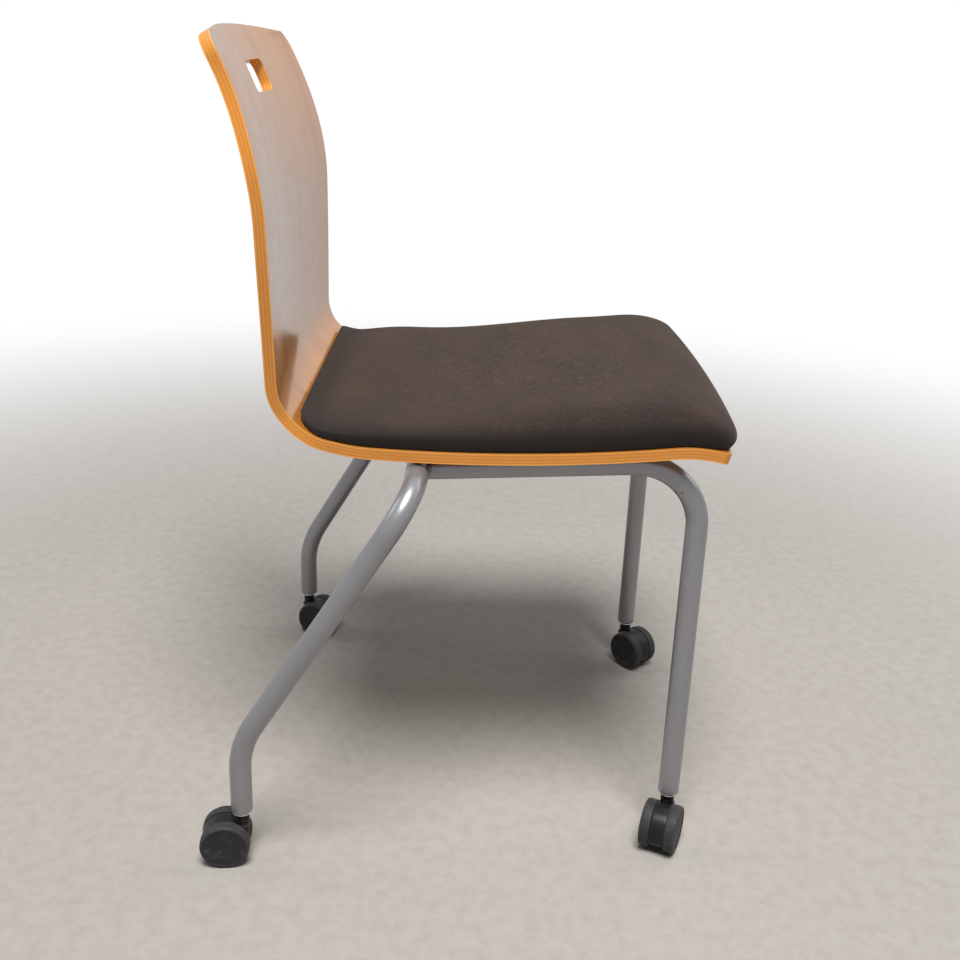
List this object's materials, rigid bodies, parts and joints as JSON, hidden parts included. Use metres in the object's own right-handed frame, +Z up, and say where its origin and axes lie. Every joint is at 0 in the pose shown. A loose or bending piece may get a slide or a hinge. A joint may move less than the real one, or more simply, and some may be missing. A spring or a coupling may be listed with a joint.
{
  "type": "nesting chair",
  "caption": "Nesting chair with a bent plywood shell, a seat cushion, a tube frame and twin-wheel casters.",
  "frame": {"origin": "middle of the footprint of the whole chair, on the floor", "axes": "+Z up, the sitter faces -Y, the sitter's right is -X"},
  "size_m": [0.5556, 0.5342, 0.8135],
  "materials": {
    "frame_paint": "satin silver-grey powder coat",
    "shell_ply": "clear gloss lacquer on birch ply",
    "cushion_cloth": "woven upholstery cloth",
    "board_ply": "raw ply",
    "pivot_nylon": "moulded",
    "saddle_rubber": "moulded",
    "zinc_steel": "zinc plated",
    "caster_nylon": "moulded, worn",
    "wheel_nylon": "moulded, dusty"
  },
  "bodies": {
    "frame": {"rear_hoop": "frame_paint", "right_side_tube": "frame_paint", "left_side_tube": "frame_paint", "front_cross_tube": "frame_paint", "right_rest_saddle": "saddle_rubber", "left_rest_saddle": "saddle_rubber", "rear_right_caster_socket": "zinc_steel", "rear_right_caster_stem": "zinc_steel", "rear_left_caster_socket": "zinc_steel", "rear_left_caster_stem": "zinc_steel", "front_right_caster_socket": "zinc_steel", "front_right_caster_stem": "zinc_steel", "front_left_caster_socket": "zinc_steel", "front_left_caster_stem": "zinc_steel"},
    "shell": {"seat_shell": "shell_ply", "seat_cushion": "cushion_cloth", "cushion_board": "board_ply", "right_pivot_block": "pivot_nylon", "right_pivot_cap": "pivot_nylon", "pivot_screw_right_front": "zinc_steel", "shell_insert_right_front": "zinc_steel", "cushion_screw_right_front": "zinc_steel", "pivot_screw_right_rear": "zinc_steel", "shell_insert_right_rear": "zinc_steel", "cushion_screw_right_rear": "zinc_steel", "left_pivot_block": "pivot_nylon", "left_pivot_cap": "pivot_nylon", "pivot_screw_left_front": "zinc_steel", "shell_insert_left_front": "zinc_steel", "cushion_screw_left_front": "zinc_steel", "pivot_screw_left_rear": "zinc_steel", "shell_insert_left_rear": "zinc_steel", "cushion_screw_left_rear": "zinc_steel"},
    "rear_right_caster": {"rear_right_caster_hood": "caster_nylon", "rear_right_caster_axle": "zinc_steel"},
    "rear_right_wheel_a": {"rear_right_wheel_a": "wheel_nylon"},
    "rear_right_wheel_b": {"rear_right_wheel_b": "wheel_nylon"},
    "rear_left_caster": {"rear_left_caster_hood": "caster_nylon", "rear_left_caster_axle": "zinc_steel"},
    "rear_left_wheel_a": {"rear_left_wheel_a": "wheel_nylon"},
    "rear_left_wheel_b": {"rear_left_wheel_b": "wheel_nylon"},
    "front_right_caster": {"front_right_caster_hood": "caster_nylon", "front_right_caster_axle": "zinc_steel"},
    "front_right_wheel_a": {"front_right_wheel_a": "wheel_nylon"},
    "front_right_wheel_b": {"front_right_wheel_b": "wheel_nylon"},
    "front_left_caster": {"front_left_caster_hood": "caster_nylon", "front_left_caster_axle": "zinc_steel"},
    "front_left_wheel_a": {"front_left_wheel_a": "wheel_nylon"},
    "front_left_wheel_b": {"front_left_wheel_b": "wheel_nylon"}
  },
  "joints": [
    {"name": "shell_tip", "type": "hinge", "parent": "frame", "child": "shell", "pos_m": [0, -0.1856, 0.42673], "axis": [1, 0, 0], "range_deg": [0, 50]},
    {"name": "rear_right_swivel", "type": "hinge", "parent": "frame", "child": "rear_right_caster", "pos_m": [-0.2474, 0.223, 0.048], "axis": [0, 0, 1], "continuous": true},
    {"name": "rear_right_wheel_a_spin", "type": "hinge", "parent": "rear_right_caster", "child": "rear_right_wheel_a", "pos_m": [-0.24892, 0.24033, 0.0254], "axis": [-0.9962, -0.0872, 0], "continuous": true},
    {"name": "rear_right_wheel_b_spin", "type": "hinge", "parent": "rear_right_caster", "child": "rear_right_wheel_b", "pos_m": [-0.24892, 0.24033, 0.0254], "axis": [-0.9962, -0.0872, 0], "continuous": true},
    {"name": "rear_left_swivel", "type": "hinge", "parent": "frame", "child": "rear_left_caster", "pos_m": [0.2474, 0.223, 0.048], "axis": [0, 0, 1], "continuous": true},
    {"name": "rear_left_wheel_a_spin", "type": "hinge", "parent": "rear_left_caster", "child": "rear_left_wheel_a", "pos_m": [0.24088, 0.20686, 0.0254], "axis": [0.9272, -0.3746, 0], "continuous": true},
    {"name": "rear_left_wheel_b_spin", "type": "hinge", "parent": "rear_left_caster", "child": "rear_left_wheel_b", "pos_m": [0.24088, 0.20686, 0.0254], "axis": [0.9272, -0.3746, 0], "continuous": true},
    {"name": "front_right_swivel", "type": "hinge", "parent": "frame", "child": "front_right_caster", "pos_m": [-0.1923, -0.2262, 0.048], "axis": [0, 0, 1], "continuous": true},
    {"name": "front_right_wheel_a_spin", "type": "hinge", "parent": "front_right_caster", "child": "front_right_wheel_a", "pos_m": [-0.20832, -0.2194, 0.0254], "axis": [-0.3907, -0.9205, 0], "continuous": true},
    {"name": "front_right_wheel_b_spin", "type": "hinge", "parent": "front_right_caster", "child": "front_right_wheel_b", "pos_m": [-0.20832, -0.2194, 0.0254], "axis": [-0.3907, -0.9205, 0], "continuous": true},
    {"name": "front_left_swivel", "type": "hinge", "parent": "frame", "child": "front_left_caster", "pos_m": [0.1923, -0.2262, 0.048], "axis": [0, 0, 1], "continuous": true},
    {"name": "front_left_wheel_a_spin", "type": "hinge", "parent": "front_left_caster", "child": "front_left_wheel_a", "pos_m": [0.17897, -0.23739, 0.0254], "axis": [0.6428, -0.766, 0], "continuous": true},
    {"name": "front_left_wheel_b_spin", "type": "hinge", "parent": "front_left_caster", "child": "front_left_wheel_b", "pos_m": [0.17897, -0.23739, 0.0254], "axis": [0.6428, -0.766, 0], "continuous": true}
  ]
}
